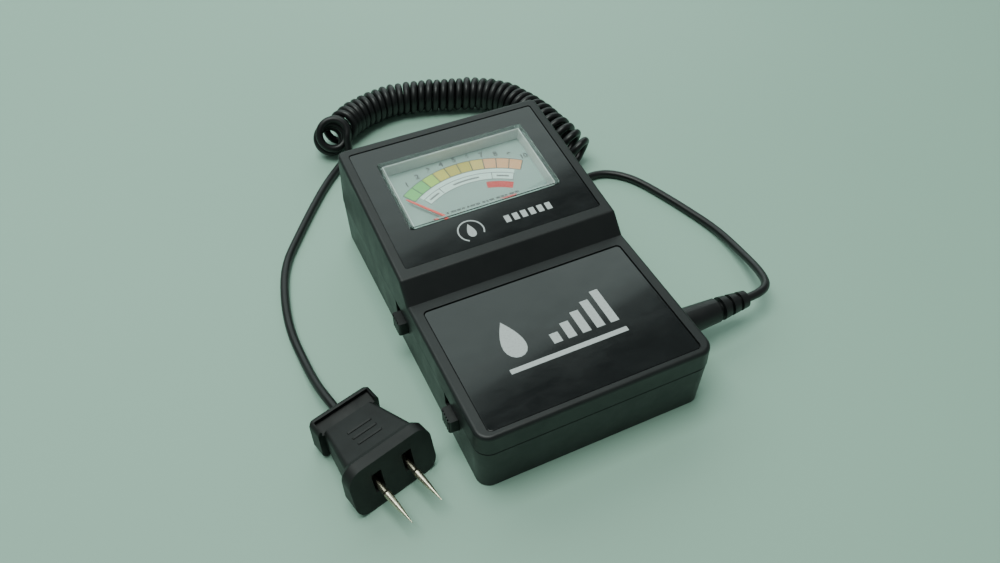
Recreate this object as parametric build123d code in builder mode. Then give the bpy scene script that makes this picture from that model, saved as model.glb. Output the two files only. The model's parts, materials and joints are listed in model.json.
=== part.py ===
from build123d import *
import os
from math import cos, radians, sin, tan

os.makedirs("parts", exist_ok=True)

# Pin-type moisture meter with a curly probe lead, in millimetres.
# Origin: middle of the case's flat underside. +X right, +Y towards the display end, +Z up.

# ---- case ----
CASE_W = 80.0
CASE_L = 125.0
SEAM_Z = 18.0
FRONT_Z = 26.0
STEP_BASE_Y = -6.5
STEP_TOP_Y = -0.6
STEP_TOP_Z = 32.5
TILT = 6.64
CASE_TOP_Z = 42.0
FRONT_CORNER = 5.0
REAR_CORNER = 3.0
WALL = 2.2
FLOOR = 2.4
TOP_WALL = 2.4
BASE_INSET = 0.7
LOWER_INSET = 0.15
TOP_INSET = 0.8
GROOVE = 0.4
EDGE_R = 1.3
LIP_H = 1.2
LIP_INSET = 1.3
LIP_GAP = 0.15

# ---- label panels ----
PANEL_DEPTH = 0.9
PANEL_T = 0.6
PANEL_GAP = 0.3
FRONT_PANEL_SIZE = (72.2, 49.9)
FRONT_PANEL_Y = -35.05
BEZEL_SIZE = (72.0, 55.6)
BEZEL_V = 26.4
WINDOW_SIZE = (56.5, 32.6)
WINDOW_V = 29.95

# ---- meter, measured from the pivot on the tilted display plane ----
PIVOT_Y = 4.5
SWEEP_HALF = 38.0
DIAL_W = -6.0
DIAL_T = 0.8
CHASSIS_T = 1.8
COIL_TOP = -8.0
COIL_BOTTOM = -18.4
CORE_R = 4.4
YOKE_R = 12.0
YOKE_BORE_R = 7.2
POINTER_W = -4.6
POINTER_R = 38.4
STAFF_R = 0.5
STAFF_TIP_R = 0.3
JEWEL_R = 1.1

# ---- slide switches ----
SLOT_LEN = 11.4
SLOT_BOTTOM = 12.0
SWITCH_Y = {"power": 0.1, "range": -41.7}
KNOB_LEN = 6.1
KNOB_CLEAR = 0.35
KNOB_REACH = 43.0
SWITCH_FACE = 37.2
SWITCH_BACK = 30.4

# ---- jack, plug and cord ----
JACK_Y = -39.4
JACK_Z = 11.0
PLUG_START = 40.3
PLUG_END = 59.4
RELIEF_END = 71.0
CORD_D = 3.1
COIL_R = 7.1

# ---- probe ----
PROBE_YAW = -74.3
PROBE_REAR = (-69.8, -22.7)
PROBE_AXIS_Z = 7.0
PROBE_LEN = 30.2
PIN_Z = 7.6
PIN_SPACING = 10.7
PIN_REACH = 14.2

# ---- battery bay ----
BAY_X = 27.2
BAY_FRONT = 30.0
BAY_TOP = 20.8
BAY_WALL = 2.0
BAY_REAR = 59.8
DOOR_FRONT = 29.1
BATTERY_Y = 44.6
BATTERY_Z = 11.55

BOARD_Z = 5.4
BOARD_T = 1.6
CASE_SCREWS = [(-33, -55.5), (33, -55.5), (-33, 55.5), (33, 55.5)]
BOARD_SCREWS = [(-22, -46), (22, -46), (-22, 8), (22, 8)]


# ---- shared planes and outlines ----
def meter_plane(height):
    """Plane parallel to the display surface, with its origin on the pointer's axis."""
    tilt = radians(TILT)
    surface_z = STEP_TOP_Z + (PIVOT_Y - STEP_TOP_Y) * tan(tilt)
    origin = (0, PIVOT_Y - height * sin(tilt), surface_z + height * cos(tilt))
    return Plane(origin=origin, x_dir=(1, 0, 0), z_dir=(0, -sin(tilt), cos(tilt)))


def case_outline(height, inset):
    """Plan view of the case at one height, drawn in by the inset all round."""
    with BuildSketch(Plane.XY.offset(height)) as outline:
        Rectangle(CASE_W - 2 * inset, CASE_L - 2 * inset)
        fillet(outline.vertices().group_by(Axis.Y)[0], max(FRONT_CORNER - inset, 1))
        fillet(outline.vertices().group_by(Axis.Y)[-1], max(REAR_CORNER - inset, 1))
    return outline.sketch


def side_profile(drop):
    """Side view of the stepped top, lowered by the drop; it runs past both ends."""
    far = CASE_L
    rise = (far - STEP_TOP_Y) * tan(radians(TILT))
    with BuildSketch(Plane.YZ) as side:
        with BuildLine():
            Polyline(
                (-far, -far),
                (-far, FRONT_Z),
                (STEP_BASE_Y, FRONT_Z),
                (STEP_TOP_Y, STEP_TOP_Z),
                (far, STEP_TOP_Z + rise),
                (far, -far),
                close=True,
            )
        make_face()
        if drop:
            offset(amount=-drop, kind=Kind.INTERSECTION, mode=Mode.REPLACE)
    return side.sketch


def rounded_panel(plane, size, radius, centre_y):
    """Rectangle with four equal corner radii on the given plane."""
    with BuildSketch(plane) as panel:
        with Locations((0, centre_y)):
            RectangleRounded(*size, radius)
    return panel.sketch


# ---- upper shell ----
with BuildPart() as upper_cavity:
    loft([case_outline(SEAM_Z - 1, WALL), case_outline(CASE_TOP_Z, WALL + TOP_INSET)])
    extrude(side_profile(TOP_WALL), amount=CASE_W, both=True, mode=Mode.INTERSECT)

with BuildPart() as upper_shell:
    loft([case_outline(SEAM_Z, GROOVE), case_outline(SEAM_Z + GROOVE, 0)])
    loft([case_outline(SEAM_Z + GROOVE, 0), case_outline(CASE_TOP_Z, TOP_INSET)])
    extrude(side_profile(0), amount=CASE_W, both=True, mode=Mode.INTERSECT)
    top_edges = upper_shell.edges().filter_by_position(Axis.Z, FRONT_Z - 0.1, CASE_TOP_Z)
    inner_corner = top_edges.filter_by(Axis.X).sort_by_distance((0, STEP_BASE_Y, FRONT_Z))[0]
    fillet(top_edges - [inner_corner], EDGE_R)
    add(upper_cavity.part, mode=Mode.SUBTRACT)
    # rebate that the lower shell's lip stands in
    extrude(case_outline(SEAM_Z, LIP_INSET - LIP_GAP), amount=LIP_H + LIP_GAP, mode=Mode.SUBTRACT)
    # recesses for the two label panels and the display window
    recess = rounded_panel(
        Plane.XY.offset(FRONT_Z - PANEL_DEPTH), FRONT_PANEL_SIZE, 1.7, FRONT_PANEL_Y
    )
    extrude(recess, amount=2, mode=Mode.SUBTRACT)
    recess = rounded_panel(meter_plane(-PANEL_DEPTH), BEZEL_SIZE, 1.1, BEZEL_V)
    extrude(recess, amount=2, mode=Mode.SUBTRACT)
    window = rounded_panel(meter_plane(-2 * TOP_WALL), WINDOW_SIZE, 1.0, WINDOW_V)
    extrude(window, amount=4 * TOP_WALL, mode=Mode.SUBTRACT)
    # screw bosses down to the lower shell's posts
    for x, y in CASE_SCREWS:
        roof = FRONT_Z if y < 0 else STEP_TOP_Z + (y - STEP_TOP_Y) * tan(radians(TILT))
        boss_top = roof - 1.6
        with BuildSketch(Plane.XY.offset(12)):
            with Locations((x, y)):
                Circle(3.2)
        extrude(amount=boss_top - 12)
        with BuildSketch(Plane.XY.offset(12)):
            with Locations((x, y)):
                Circle(1.45)
        extrude(amount=9.5, mode=Mode.SUBTRACT)
    # posts that carry the meter's chassis
    with BuildSketch(meter_plane(DIAL_W - DIAL_T)):
        with Locations((-32.6, -4), (32.6, -4), (-32.6, 42.5), (32.6, 42.5)):
            Circle(2.6)
            Circle(0.9, mode=Mode.SUBTRACT)
    extrude(amount=-(DIAL_W - DIAL_T) - TOP_WALL + 0.4)
upper_shell.part.label = "upper_shell"
export_step(upper_shell.part, "parts/upper_shell.step")

# ---- lower shell ----
with BuildPart() as lower_shell:
    loft([case_outline(0, BASE_INSET), case_outline(SEAM_Z - GROOVE, LOWER_INSET)])
    loft([case_outline(SEAM_Z - GROOVE, LOWER_INSET), case_outline(SEAM_Z, GROOVE + LOWER_INSET)])
    extrude(case_outline(SEAM_Z, LIP_INSET), amount=LIP_H)
    cavity_floor = case_outline(FLOOR, WALL + BASE_INSET)
    cavity_top = case_outline(SEAM_Z + 2, WALL + LOWER_INSET)
    loft([cavity_floor, cavity_top], mode=Mode.SUBTRACT)
    # posts for the case screws and the circuit board
    with BuildSketch(Plane.XY):
        with Locations(*CASE_SCREWS):
            Circle(3.6)
    extrude(amount=11.9)
    with BuildSketch(Plane.XY):
        with Locations(*CASE_SCREWS):
            Circle(1.6)
    extrude(amount=12, mode=Mode.SUBTRACT)
    with BuildSketch(Plane.XY):
        with Locations(*CASE_SCREWS):
            Circle(2.8)
    extrude(amount=4, mode=Mode.SUBTRACT)
    with BuildSketch(Plane.XY.offset(FLOOR - 0.5)):
        with Locations(*BOARD_SCREWS):
            Circle(2.6)
    extrude(amount=BOARD_Z - FLOOR + 0.5)
    with BuildSketch(Plane.XY.offset(FLOOR)):
        with Locations(*BOARD_SCREWS):
            Circle(0.95)
    extrude(amount=5, mode=Mode.SUBTRACT)
    # battery bay: a box with its roof under the dial, open through the floor
    for bay_rear, bay_height in ((BAY_REAR, BAY_TOP + 1.2), (BAY_REAR + 0.8, SEAM_Z)):
        with BuildSketch(Plane.XY.offset(1)):
            with Locations((0, (BAY_FRONT - BAY_WALL + bay_rear) / 2)):
                Rectangle(2 * (BAY_X + BAY_WALL), bay_rear - BAY_FRONT + BAY_WALL)
        extrude(amount=bay_height - 1)
    with BuildSketch(Plane.XY.offset(FLOOR)):
        with Locations((0, (BAY_FRONT + BAY_REAR - 1.2) / 2)):
            Rectangle(2 * BAY_X, BAY_REAR - 1.2 - BAY_FRONT)
    extrude(amount=BAY_TOP - FLOOR, mode=Mode.SUBTRACT)
    # opening and side grooves for the sliding door, through the rear wall
    door_run = CASE_L / 2 + 1 - DOOR_FRONT
    door_mid = DOOR_FRONT - 0.3 + door_run / 2
    with BuildSketch(Plane.XY.offset(-1)):
        with Locations((0, door_mid)):
            Rectangle(2 * 27.0, door_run)
    extrude(amount=FLOOR + 1.3, mode=Mode.SUBTRACT)
    with BuildSketch(Plane.XY.offset(0.9)):
        with Locations((0, door_mid)):
            Rectangle(2 * 28.4, door_run)
    extrude(amount=1.8, mode=Mode.SUBTRACT)
    # slide switch slots at the seam
    for slot_y in SWITCH_Y.values():
        with BuildSketch(Plane.XY.offset(SLOT_BOTTOM)):
            with Locations((-CASE_W / 2, slot_y)):
                Rectangle(8, SLOT_LEN)
        extrude(amount=CASE_TOP_Z - SLOT_BOTTOM, mode=Mode.SUBTRACT)
    # hole for the jack's collar
    with BuildSketch(Plane.YZ.offset(CASE_W / 2 - 5)):
        with Locations((JACK_Y, JACK_Z)):
            Circle(3.3)
    extrude(amount=10, mode=Mode.SUBTRACT)
lower_shell.part.label = "lower_shell"
export_step(lower_shell.part, "parts/lower_shell.step")

# ---- battery door ----
with BuildPart() as battery_door:
    rear_edge = CASE_L / 2 - BASE_INSET
    with BuildSketch(Plane.XY):
        with Locations((0, (DOOR_FRONT + rear_edge) / 2)):
            Rectangle(2 * 26.7, rear_edge - DOOR_FRONT)
    extrude(amount=FLOOR)
    with BuildSketch(Plane.XY.offset(1.2)):
        with Locations((0, (DOOR_FRONT + rear_edge) / 2)):
            Rectangle(2 * 28.1, rear_edge - DOOR_FRONT)
    extrude(amount=FLOOR - 1.2)
    # shallow finger grooves near the rear edge, on the underside
    with BuildSketch(Plane.XY):
        for i in range(5):
            with Locations((0, rear_edge - 5 - 2.2 * i)):
                SlotOverall(24, 1.2)
    extrude(amount=0.6, mode=Mode.SUBTRACT)
battery_door.part.label = "battery_door"
export_step(battery_door.part, "parts/battery_door.step")

# ---- glossy label panels ----
with BuildPart() as front_panel:
    size = [side - 2 * PANEL_GAP for side in FRONT_PANEL_SIZE]
    extrude(
        rounded_panel(Plane.XY.offset(FRONT_Z - PANEL_DEPTH), size, 1.4, FRONT_PANEL_Y),
        amount=PANEL_T,
    )
    fillet(front_panel.faces().sort_by(Axis.Z)[-1].edges(), 0.2)
front_panel.part.label = "front_panel"
export_step(front_panel.part, "parts/front_panel.step")

with BuildPart() as display_bezel:
    size = [side - 2 * PANEL_GAP for side in BEZEL_SIZE]
    extrude(rounded_panel(meter_plane(-PANEL_DEPTH), size, 0.8, BEZEL_V), amount=PANEL_T)
    window = rounded_panel(meter_plane(-2), WINDOW_SIZE, 1.0, WINDOW_V)
    extrude(window, amount=4, mode=Mode.SUBTRACT)
display_bezel.part.label = "display_bezel"
export_step(display_bezel.part, "parts/display_bezel.step")

# ---- clear lens: a shallow box, cut short at the front where the pointer passes ----
LENS_SIZE = [side - 0.3 for side in WINDOW_SIZE]
with BuildPart() as meter_lens:
    extrude(rounded_panel(meter_plane(DIAL_W), LENS_SIZE, 0.9, WINDOW_V), amount=0.8 - DIAL_W)
    chamfer(meter_lens.faces().sort_by(Axis.Z)[-1].edges(), 0.6)
    inner = [side - 2.6 for side in LENS_SIZE]
    hollow = rounded_panel(meter_plane(DIAL_W), inner, 0.5, WINDOW_V)
    extrude(hollow, amount=-0.8 - DIAL_W, mode=Mode.SUBTRACT)
    front_cut = WINDOW_V - LENS_SIZE[1] / 2
    with BuildSketch(meter_plane(DIAL_W)):
        with Locations((0, front_cut)):
            Rectangle(inner[0], 4)
    extrude(amount=3.6, mode=Mode.SUBTRACT)
meter_lens.part.label = "meter_lens"
export_step(meter_lens.part, "parts/meter_lens.step")

# ---- dial and chassis ----
DIAL_SCREWS = [(-24, 11.6), (24, 11.6)]
with BuildPart() as dial_plate:
    with BuildSketch(meter_plane(DIAL_W - DIAL_T)):
        with Locations((0, (9.5 + 46.4) / 2)):
            RectangleRounded(59, 46.4 - 9.5, 1)
        with Locations(*DIAL_SCREWS):
            Circle(1.1, mode=Mode.SUBTRACT)
    extrude(amount=DIAL_T)
dial_plate.part.label = "dial_plate"
export_step(dial_plate.part, "parts/dial_plate.step")

CHASSIS_TOP = DIAL_W - DIAL_T
CHASSIS_LOW = CHASSIS_TOP - CHASSIS_T
CUP_LOW = -22.6
with BuildPart() as meter_chassis:
    with BuildSketch(meter_plane(CHASSIS_LOW)):
        with Locations((0, (46.6 - 7.5) / 2)):
            RectangleRounded(70.8, 46.6 + 7.5, 2)
    extrude(amount=CHASSIS_T)
    with BuildSketch(meter_plane(CUP_LOW)):
        Circle(YOKE_R + 1.5)
    extrude(amount=CHASSIS_LOW - CUP_LOW)
    # well for the yoke ring, narrower below it and through the plate above
    with BuildSketch(meter_plane(CUP_LOW + 1.6)):
        Circle(YOKE_R - 2)
    extrude(amount=CHASSIS_LOW - CUP_LOW - 1.6, mode=Mode.SUBTRACT)
    with BuildSketch(meter_plane(-17)):
        Circle(YOKE_R + 0.05)
    extrude(amount=CHASSIS_LOW + 17, mode=Mode.SUBTRACT)
    with BuildSketch(meter_plane(CUP_LOW - 1)):
        Circle(JEWEL_R)
    extrude(amount=4, mode=Mode.SUBTRACT)
    with BuildSketch(meter_plane(CHASSIS_LOW - 1)):
        Circle(8.6)
    extrude(amount=4, mode=Mode.SUBTRACT)
    with BuildSketch(meter_plane(CHASSIS_LOW - 1)):
        with Locations(*DIAL_SCREWS):
            Circle(0.85)
        with Locations((-32.6, -4), (32.6, -4), (-32.6, 42.5), (32.6, 42.5)):
            Circle(1.3)
    extrude(amount=4, mode=Mode.SUBTRACT)
meter_chassis.part.label = "meter_chassis"
export_step(meter_chassis.part, "parts/meter_chassis.step")

# ---- magnet system ----
with BuildPart() as yoke_ring:
    with BuildSketch(meter_plane(-17)):
        Circle(YOKE_R)
        Circle(YOKE_BORE_R, mode=Mode.SUBTRACT)
    extrude(amount=8)
yoke_ring.part.label = "yoke_ring"
export_step(yoke_ring.part, "parts/yoke_ring.step")

with BuildPart() as core_magnet:
    with BuildSketch(meter_plane(-17)):
        Circle(CORE_R)
    extrude(amount=7.6)
    # two arms hold the core in the yoke, clear of the coil's swing
    with BuildSketch(meter_plane(-14.5)):
        Rectangle(2, 2 * YOKE_BORE_R - 0.2)
    extrude(amount=2)
core_magnet.part.label = "core_magnet"
export_step(core_magnet.part, "parts/core_magnet.step")

with BuildPart() as top_bridge:
    with BuildSketch(meter_plane(-3.6)):
        SlotOverall(21.2, 4.4)
        Circle(JEWEL_R, mode=Mode.SUBTRACT)
    extrude(amount=0.8)
    with BuildSketch(meter_plane(CHASSIS_TOP)):
        with Locations((-9.9, 0), (9.9, 0)):
            Rectangle(1.2, 2.4)
    extrude(amount=-3.6 - CHASSIS_TOP)
top_bridge.part.label = "top_bridge"
export_step(top_bridge.part, "parts/top_bridge.step")

with BuildPart() as jewel_bearings:
    with BuildSketch(meter_plane(-3.9)):
        Circle(JEWEL_R)
    extrude(amount=1.1)
    with BuildSketch(meter_plane(-3.9)):
        Circle(STAFF_TIP_R + 0.05)
    extrude(amount=0.6, mode=Mode.SUBTRACT)
    with BuildSketch(meter_plane(-22.0)):
        Circle(JEWEL_R)
    extrude(amount=1.8)
    with BuildSketch(meter_plane(-20.2)):
        Circle(STAFF_TIP_R + 0.05)
    extrude(amount=-0.7, mode=Mode.SUBTRACT)
jewel_bearings.part.label = "jewel_bearings"
export_step(jewel_bearings.part, "parts/jewel_bearings.step")

# ---- moving coil, staffs and pointer, at rest on the zero mark ----
def swing_plane(height):
    """Meter plane turned so that its +Y runs along the pointer at rest."""
    level = meter_plane(height)
    turn = radians(SWEEP_HALF)
    across = level.x_dir * cos(turn) + level.y_dir * sin(turn)
    return Plane(origin=level.origin, x_dir=across, z_dir=level.z_dir)


with BuildPart() as moving_coil:
    with BuildSketch(swing_plane(COIL_BOTTOM)):
        Rectangle(12.8, 3)
    extrude(amount=COIL_TOP - COIL_BOTTOM)
    with BuildSketch(swing_plane(COIL_BOTTOM + 0.8)):
        Rectangle(10.0, 3)
    extrude(amount=COIL_TOP - COIL_BOTTOM - 1.6, mode=Mode.SUBTRACT)
moving_coil.part.label = "moving_coil"
export_step(moving_coil.part, "parts/moving_coil.step")

with BuildPart() as pivot_staffs:
    with BuildSketch(meter_plane(COIL_TOP)):
        Circle(STAFF_R)
    extrude(amount=4)
    with BuildSketch(meter_plane(COIL_TOP + 4)):
        Circle(STAFF_TIP_R)
    extrude(amount=0.55)
    with BuildSketch(meter_plane(COIL_BOTTOM)):
        Circle(STAFF_R)
    extrude(amount=-1.7)
    with BuildSketch(meter_plane(COIL_BOTTOM - 1.7)):
        Circle(STAFF_TIP_R)
    extrude(amount=-0.65)
pivot_staffs.part.label = "pivot_staffs"
export_step(pivot_staffs.part, "parts/pivot_staffs.step")

with BuildPart() as pointer:
    with BuildSketch(swing_plane(POINTER_W)):
        Circle(1.7)
        with BuildLine():
            Polyline(
                (-0.65, 0), (-0.3, POINTER_R - 1), (0, POINTER_R),
                (0.3, POINTER_R - 1), (0.65, 0), close=True,
            )
        make_face()
        with Locations((0, -2.6)):
            Rectangle(1.6, 4.2)
        Circle(STAFF_R, mode=Mode.SUBTRACT)
    extrude(amount=0.35)
pointer.part.label = "pointer"
export_step(pointer.part, "parts/pointer.step")

# flat spiral hairspring: half turns, each 0.35 mm wider than the last
with BuildPart() as hairspring:
    with BuildSketch(meter_plane(-7.4)):
        for i in range(6):
            side = 1 if i % 2 == 0 else -1
            radius = 1.2 + 0.35 * i
            centre = (0.175 * (1 - side), 0)
            with BuildLine():
                outer = CenterArc(centre, radius + 0.09, 90 - 90 * side, 180)
                inner = CenterArc(centre, radius - 0.09, 90 - 90 * side, 180)
                Line(outer @ 0, inner @ 0)
                Line(outer @ 1, inner @ 1)
            make_face()
    extrude(amount=0.35)
hairspring.part.label = "hairspring"
export_step(hairspring.part, "parts/hairspring.step")

# ---- meter screws ----
with BuildPart() as dial_screws:
    with BuildSketch(meter_plane(DIAL_W)):
        with Locations(*DIAL_SCREWS):
            Circle(1.7)
    extrude(amount=0.9)
    with BuildSketch(meter_plane(DIAL_W)):
        with Locations(*DIAL_SCREWS):
            Circle(0.8)
    extrude(amount=-2.4)
    with BuildSketch(meter_plane(DIAL_W + 0.5)):
        with Locations(*DIAL_SCREWS):
            Rectangle(4, 0.4)
    extrude(amount=1, mode=Mode.SUBTRACT)
dial_screws.part.label = "dial_screws"
export_step(dial_screws.part, "parts/dial_screws.step")

with BuildPart() as chassis_screws:
    with BuildSketch(meter_plane(CHASSIS_LOW)):
        with Locations((-32.6, -4), (32.6, -4), (-32.6, 42.5), (32.6, 42.5)):
            Circle(2.1)
    extrude(amount=-1.3)
    with BuildSketch(meter_plane(CHASSIS_LOW)):
        with Locations((-32.6, -4), (32.6, -4), (-32.6, 42.5), (32.6, 42.5)):
            Circle(0.85)
    extrude(amount=CHASSIS_T + 3)
chassis_screws.part.label = "chassis_screws"
export_step(chassis_screws.part, "parts/chassis_screws.step")

# ---- circuit board and what is soldered to it ----
BOARD_TOP = BOARD_Z + BOARD_T
with BuildPart() as circuit_board:
    with BuildSketch(Plane.XY.offset(BOARD_Z)):
        with Locations((0, -19)):
            RectangleRounded(72, 62, 1)
        with Locations(*BOARD_SCREWS):
            Circle(1.1, mode=Mode.SUBTRACT)
    extrude(amount=BOARD_T)
circuit_board.part.label = "circuit_board"
export_step(circuit_board.part, "parts/circuit_board.step")

with BuildPart() as amplifier_chip:
    with BuildSketch(Plane.XY.offset(BOARD_TOP + 0.5)):
        with Locations((0, -30)):
            Rectangle(9.8, 6.4)
    extrude(amount=3.3)
    chamfer(amplifier_chip.faces().sort_by(Axis.Z)[-1].edges(), 0.4)
    with BuildSketch(Plane.XY.offset(BOARD_TOP)):
        with Locations((0, -30)):
            with GridLocations(2.54, 7.0, 4, 2):
                Rectangle(0.6, 0.7)
    extrude(amount=2)
amplifier_chip.part.label = "amplifier_chip"
export_step(amplifier_chip.part, "parts/amplifier_chip.step")

with BuildPart() as calibration_trimmers:
    for x in (-14, 14):
        with BuildSketch(Plane.XY.offset(BOARD_TOP)):
            with Locations((x, -40)):
                RectangleRounded(7, 7, 0.5)
        extrude(amount=3.6)
        with BuildSketch(Plane.XY.offset(BOARD_TOP + 3.6)):
            with Locations((x, -40)):
                Circle(2.6)
                Rectangle(3.6, 0.7, mode=Mode.SUBTRACT)
        extrude(amount=0.9)
calibration_trimmers.part.label = "calibration_trimmers"
export_step(calibration_trimmers.part, "parts/calibration_trimmers.step")

with BuildPart() as capacitors:
    with BuildSketch(Plane.XY.offset(BOARD_TOP)):
        with Locations((-2, -44), (18, -20)):
            Circle(3.2)
    extrude(amount=8.5)
    fillet(capacitors.faces().sort_by(Axis.Z)[-2:].edges(), 0.4)
capacitors.part.label = "capacitors"
export_step(capacitors.part, "parts/capacitors.step")

with BuildPart() as resistors:
    for x, y in [(-20, -22), (-20, -26), (-20, -30), (12, -27), (20, -31), (-6, -20)]:
        with BuildSketch(Plane.YZ.offset(x - 3.2)):
            with Locations((y, BOARD_TOP + 1.15)):
                Circle(1.15)
        extrude(amount=6.4)
resistors.part.label = "resistors"
export_step(resistors.part, "parts/resistors.step")

with BuildPart() as transistors:
    with BuildSketch(Plane.XY.offset(BOARD_TOP)):
        for x in (-4, 7):
            with Locations((x, -37)):
                Circle(2.3)
                with Locations((0, 2.3)):
                    Rectangle(5, 2, mode=Mode.SUBTRACT)
    extrude(amount=4.6)
transistors.part.label = "transistors"
export_step(transistors.part, "parts/transistors.step")

# ---- slide switches ----
KNOB_TOP = SEAM_Z - KNOB_CLEAR
KNOB_LOW = SLOT_BOTTOM + KNOB_CLEAR
KNOB_MID = (KNOB_TOP + KNOB_LOW) / 2
SWITCH_X = -(SWITCH_FACE + SWITCH_BACK) / 2
for switch, slot_y in SWITCH_Y.items():
    with BuildPart() as switch_body:
        with BuildSketch(Plane.XY.offset(9.5)):
            with Locations((SWITCH_X, slot_y)):
                Rectangle(SWITCH_FACE - SWITCH_BACK, 18)
        extrude(amount=11)
        with BuildSketch(Plane.XY.offset(10.3)):
            with Locations((SWITCH_X, slot_y)):
                Rectangle(SWITCH_FACE - SWITCH_BACK - 1.6, 16.4)
        extrude(amount=9.4, mode=Mode.SUBTRACT)
        with BuildSketch(Plane.YZ.offset(-SWITCH_FACE - 1)):
            with Locations((slot_y, KNOB_MID)):
                Rectangle(8.6, 4)
        extrude(amount=3, mode=Mode.SUBTRACT)
        with BuildSketch(Plane.XY.offset(BOARD_TOP)):
            with Locations((SWITCH_X, slot_y)):
                with GridLocations(3, 5, 2, 3):
                    Circle(0.45)
        extrude(amount=9.5 - BOARD_TOP)
    switch_body.part.label = f"{switch}_switch_body"
    export_step(switch_body.part, f"parts/{switch}_switch_body.step")

    # the knob rests at the front end of its slot
    knob_y = slot_y - SLOT_LEN / 2 + KNOB_CLEAR + KNOB_LEN / 2
    with BuildPart() as switch_knob:
        with BuildSketch(Plane.XY.offset(KNOB_LOW)):
            with Locations((-(KNOB_REACH + SWITCH_FACE + 0.4) / 2, knob_y)):
                Rectangle(KNOB_REACH - SWITCH_FACE - 0.4, KNOB_LEN)
        extrude(amount=KNOB_TOP - KNOB_LOW)
        outer_edges = switch_knob.faces().sort_by(Axis.X)[0].edges().filter_by(Axis.Z)
        fillet(outer_edges, 0.8)
        with BuildSketch(Plane.XY.offset(KNOB_LOW)):
            for i in range(4):
                with Locations((-KNOB_REACH, knob_y - 1.8 + 1.2 * i)):
                    Rectangle(0.9, 0.55)
        extrude(amount=KNOB_TOP - KNOB_LOW, mode=Mode.SUBTRACT)
        with BuildSketch(Plane.YZ.offset(-SWITCH_FACE - 0.5)):
            with Locations((knob_y, KNOB_MID)):
                Rectangle(3, 3.2)
        extrude(amount=4)
        with BuildSketch(Plane.YZ.offset(-SWITCH_FACE + 1.6)):
            with Locations((knob_y, KNOB_MID)):
                Rectangle(7.2, 7)
        extrude(amount=3.4)
    switch_knob.part.label = f"{switch}_switch_knob"
    export_step(switch_knob.part, f"parts/{switch}_switch_knob.step")

# ---- probe jack in the right wall ----
with BuildPart() as jack_socket:
    with BuildSketch(Plane.YZ.offset(26)):
        with Locations((JACK_Y, JACK_Z)):
            RectangleRounded(10, 8, 0.5)
    extrude(amount=11)
    with BuildSketch(Plane.YZ.offset(37)):
        with Locations((JACK_Y, JACK_Z)):
            Circle(3.1)
    extrude(amount=2.7)
    with BuildSketch(Plane.YZ.offset(25)):
        with Locations((JACK_Y, JACK_Z)):
            Circle(1.85)
    extrude(amount=16, mode=Mode.SUBTRACT)
jack_socket.part.label = "jack_socket"
export_step(jack_socket.part, "parts/jack_socket.step")

# ---- plug: metal contact, tapered handle and ringed strain relief ----
plug_axis = Axis((0, JACK_Y, JACK_Z), (1, 0, 0))
plug_plane = Plane(origin=(0, JACK_Y, JACK_Z), x_dir=(1, 0, 0), z_dir=(0, -1, 0))
with BuildPart() as plug_contact:
    with BuildSketch(plug_plane):
        with BuildLine():
            Polyline(
                (26.4, 0), (26.4, 0.5), (27.6, 1.5), (28.9, 1.2), (29.6, 1.75),
                (PLUG_START, 1.75), (PLUG_START, 0), close=True,
            )
        make_face()
    revolve(axis=plug_axis)
plug_contact.part.label = "plug_contact"
export_step(plug_contact.part, "parts/plug_contact.step")

with BuildPart() as plug_handle:
    with BuildSketch(plug_plane):
        with BuildLine():
            Polyline(
                (PLUG_START, 0), (PLUG_START, 4.6), (PLUG_START + 0.6, 5.15),
                (PLUG_END - 1, 4.3), (PLUG_END - 0.1, 3.2), (PLUG_END, 2.6), (RELIEF_END, 2.3),
                (RELIEF_END, 0), close=True,
            )
        make_face()
    revolve(axis=plug_axis)
    ring_pitch = (RELIEF_END - PLUG_END) / 3
    for i in range(3):
        with BuildSketch(Plane.YZ.offset(PLUG_END + 0.9 + ring_pitch * i)):
            with Locations((JACK_Y, JACK_Z)):
                Circle(4.15 - 0.4 * i)
        extrude(amount=ring_pitch - 1.2, taper=7)
plug_handle.part.label = "plug_handle"
export_step(plug_handle.part, "parts/plug_handle.step")


# ---- lead ----
def corner_radii(points):
    """Fillet radius at each inner point: 0.45 of the shorter run over tan(half the turn)."""
    vectors = [Vector(*point) for point in points]
    radii = []
    for before, corner, after in zip(vectors, vectors[1:], vectors[2:]):
        arriving = corner - before
        leaving = after - corner
        half_turn = radians(arriving.get_angle(leaving)) / 2
        radii.append(0.45 * min(arriving.length, leaving.length) / tan(half_turn))
    return radii


METER_ROUTE = [
    (RELIEF_END, JACK_Y, JACK_Z),
    (76.6, JACK_Y, JACK_Z),
    (82.0, -36.6, 10.0),
    (85.2, -28.4, 7.6),
    (87.4, -15.5, 4.2),
    (88.2, 0.5, 2.0),
    (84.6, 15.5, 1.6),
    (80.3, 29.5, 1.6),
    (75.6, 41.6, 1.6),
    (69.0, 49.6, 1.6),
    (63.0, 53.4, 1.6),
    (60.4, 60.0, 3.0),
]
PROBE_ROUTE = [
    (-30.6, 110.6, 8.2),
    (-33.8, 105.2, 5.4),
    (-35.4, 99.0, 2.4),
    (-39.2, 92.0, 1.6),
    (-46.8, 81.0, 1.6),
    (-57.0, 67.0, 1.6),
    (-65.4, 54.4, 1.6),
    (-70.4, 39.0, 1.6),
    (-73.4, 22.0, 1.6),
    (-73.8, 6.0, 2.0),
    (-73.4, -6.0, 4.6),
    (-71.964, -14.999, PROBE_AXIS_Z),
    (*PROBE_REAR, PROBE_AXIS_Z),
]
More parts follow.
